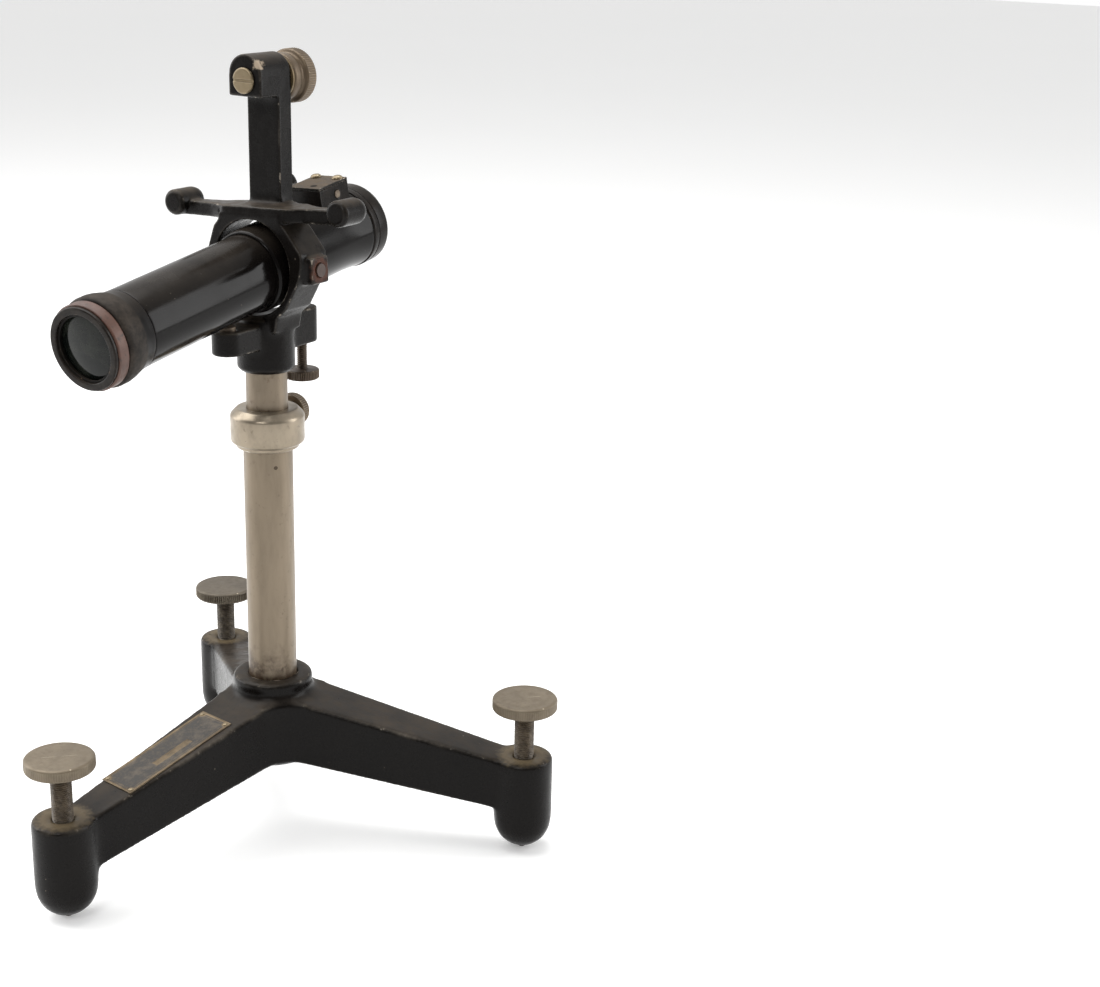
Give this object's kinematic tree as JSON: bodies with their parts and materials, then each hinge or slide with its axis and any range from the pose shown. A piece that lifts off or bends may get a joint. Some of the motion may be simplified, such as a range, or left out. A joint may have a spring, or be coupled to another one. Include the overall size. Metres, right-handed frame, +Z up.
{
  "type": "reading telescope",
  "caption": "Reading telescope in a tilting yoke on a sliding column with a levelling tripod, and a scale rest bar and clamp post above the tube.",
  "frame": {"origin": "on the table surface under the column's axis", "axes": "+Z up along the column; -Y is the way the objective points, seen from above; +X is the bar's right-hand end seen from the eye end"},
  "size_m": [0.2027, 0.1918, 0.3097],
  "materials": {
    "japanned_iron": "black japanned, satin gloss, worn at edges",
    "japanned_brass": "black enamelled, glossy",
    "dull_black": "dull black, lightly worn",
    "nickel_tube": "tarnished satin nickel plate",
    "nickel_disc": "tarnished nickel on brass, worn rims",
    "steel_rod": "drawn steel, light tarnish",
    "dark_steel": "brown oxidised steel",
    "bronze": "brown tarnished, polished rims",
    "lacquer_brown": "old brown lacquer",
    "old_brass": "aged brass",
    "plate_brass": "aged brass, dark stained field",
    "spring_steel": "bright",
    "inner_black": "matt black inside",
    "lens_glass": "coated by age, faint green grey"
  },
  "bodies": {
    "stand": {"tripod_base": "japanned_iron", "column_tube": "nickel_tube", "column_key_pin": "dark_steel", "column_grub_screw": "dark_steel", "clamp_collar": "nickel_tube", "nameplate": "plate_brass", "nameplate_pin_1": "old_brass", "nameplate_pin_2": "old_brass", "nameplate_pin_3": "old_brass", "nameplate_pin_4": "old_brass"},
    "rod": {"inner_rod": "steel_rod"},
    "clamp_pad": {"collar_clamp_pad": "old_brass"},
    "clamp_screw": {"collar_clamp_screw": "bronze"},
    "head": {"yoke_casting": "japanned_iron", "head_set_screw": "dark_steel", "pivot_screw_left": "dark_steel", "pivot_screw_right": "dark_steel", "plunger_plug": "dark_steel", "plunger_spring": "spring_steel", "scale_clamp_bolt": "old_brass"},
    "telescope": {"telescope_tube": "japanned_brass", "trunnion_band": "japanned_brass", "objective_collar": "dull_black", "objective_cell": "dull_black", "objective_band": "lacquer_brown", "objective_crown": "lens_glass", "objective_flint": "lens_glass", "objective_retainer": "inner_black", "rear_cap": "japanned_brass", "pinion_block": "japanned_brass", "pinion_cover": "japanned_brass", "cover_screw_1": "old_brass", "cover_screw_2": "old_brass"},
    "button": {"tilt_button": "dark_steel"},
    "tilt_knob": {"tilt_screw": "bronze"},
    "plunger_pin": {"plunger": "dark_steel"},
    "washer": {"scale_clamp_washer": "old_brass"},
    "scale_knob": {"scale_clamp_knob": "bronze"},
    "pinion": {"pinion_shaft": "dark_steel", "focus_knob": "japanned_brass"},
    "draw": {"draw_tube": "old_brass", "rack": "old_brass", "eyepiece_holder": "old_brass", "reticle_ring": "inner_black", "reticle_glass": "lens_glass"},
    "eyepiece": {"eyepiece_barrel": "old_brass", "field_lens": "lens_glass", "eye_spacer": "inner_black", "eye_lens": "lens_glass", "eyepiece_cap": "bronze"},
    "point_front": {"levelling_point_front": "dark_steel"},
    "leveller_front": {"levelling_screw_front": "nickel_disc"},
    "point_right": {"levelling_point_right": "dark_steel"},
    "leveller_right": {"levelling_screw_right": "nickel_disc"},
    "point_rear": {"levelling_point_rear": "dark_steel"},
    "leveller_rear": {"levelling_screw_rear": "nickel_disc"}
  },
  "joints": [
    {"name": "level_travel_front", "type": "slide", "parent": "stand", "child": "point_front", "axis": [0, 0, -1], "range_m": [-0.006, 0.01]},
    {"name": "level_turn_front", "type": "hinge", "parent": "point_front", "child": "leveller_front", "pos_m": [-0.01483, -0.10213, 0], "axis": [0, 0, -1], "range_deg": [-2710, 4515]},
    {"name": "level_travel_right", "type": "slide", "parent": "stand", "child": "point_right", "axis": [0, 0, -1], "range_m": [-0.006, 0.01]},
    {"name": "level_turn_right", "type": "hinge", "parent": "point_right", "child": "leveller_right", "pos_m": [0.09586, 0.03823, 0], "axis": [0, 0, -1], "range_deg": [-2710, 4515]},
    {"name": "level_travel_rear", "type": "slide", "parent": "stand", "child": "point_rear", "axis": [0, 0, -1], "range_m": [-0.006, 0.01]},
    {"name": "level_turn_rear", "type": "hinge", "parent": "point_rear", "child": "leveller_rear", "pos_m": [-0.08103, 0.06391, 0], "axis": [0, 0, -1], "range_deg": [-2710, 4515]},
    {"name": "rod_height", "type": "slide", "parent": "stand", "child": "rod", "axis": [0, 0, 1], "range_m": [-0.005, 0.05]},
    {"name": "head_swivel", "type": "hinge", "parent": "rod", "child": "head", "pos_m": [0, 0, 0.2], "axis": [0, 0, 1], "continuous": true},
    {"name": "clamp_pad_travel", "type": "slide", "parent": "stand", "child": "clamp_pad", "axis": [-0.1959, 0.9806, 0], "range_m": [0, 0.0016]},
    {"name": "clamp_turn", "type": "hinge", "parent": "clamp_pad", "child": "clamp_screw", "pos_m": [0, 0, 0.1698], "axis": [-0.1959, 0.9806, 0], "range_deg": [0, 723]},
    {"name": "telescope_tilt", "type": "hinge", "parent": "head", "child": "telescope", "pos_m": [0, 0, 0.2312], "axis": [-0.9986, 0, -0.0523], "range_deg": [-3, 11]},
    {"name": "button_travel", "type": "slide", "parent": "head", "child": "button", "axis": [0, 0, -1], "range_m": [-0.0014, 0.0043]},
    {"name": "tilt_turn", "type": "hinge", "parent": "button", "child": "tilt_knob", "pos_m": [0, 0.0215, 0.185], "axis": [0, 0, -1], "range_deg": [-620, 1900]},
    {"name": "plunger_travel", "type": "slide", "parent": "head", "child": "plunger_pin", "axis": [0, 0, 1], "range_m": [-0.0016, 0.0046], "deforming": ["plunger_spring"]},
    {"name": "washer_travel", "type": "slide", "parent": "head", "child": "washer", "axis": [0, 1, 0], "range_m": [0, 0.004]},
    {"name": "scale_clamp_turn", "type": "hinge", "parent": "washer", "child": "scale_knob", "pos_m": [0, 0, 0.2997], "axis": [0, 1, 0], "range_deg": [0, 1806]},
    {"name": "focus_turn", "type": "hinge", "parent": "telescope", "child": "pinion", "pos_m": [-0.00118, 0.03651, 0.25364], "axis": [0.9986, 0, 0.0523], "range_deg": [0, 361]},
    {"name": "draw_travel", "type": "slide", "parent": "telescope", "child": "draw", "axis": [-0.0076, 0.9893, 0.1459], "range_m": [0, 0.022]},
    {"name": "eyepiece_slide", "type": "slide", "parent": "draw", "child": "eyepiece", "axis": [-0.0076, 0.9893, 0.1459], "range_m": [0, 0.008]}
  ],
  "couplings": [
    {"joint": "level_turn_front", "follows": "level_travel_front", "rad_per_m": 7854},
    {"joint": "level_turn_right", "follows": "level_travel_right", "rad_per_m": 7854},
    {"joint": "level_turn_rear", "follows": "level_travel_rear", "rad_per_m": 7854},
    {"joint": "clamp_turn", "follows": "clamp_pad_travel", "rad_per_m": 7854},
    {"joint": "button_travel", "follows": "telescope_tilt", "m_per_rad": 0.021},
    {"joint": "tilt_turn", "follows": "telescope_tilt", "ratio": 164.93},
    {"joint": "plunger_travel", "follows": "telescope_tilt", "m_per_rad": 0.0225},
    {"joint": "scale_clamp_turn", "follows": "washer_travel", "rad_per_m": 7854},
    {"joint": "focus_turn", "follows": "draw_travel", "rad_per_m": 285.71}
  ]
}
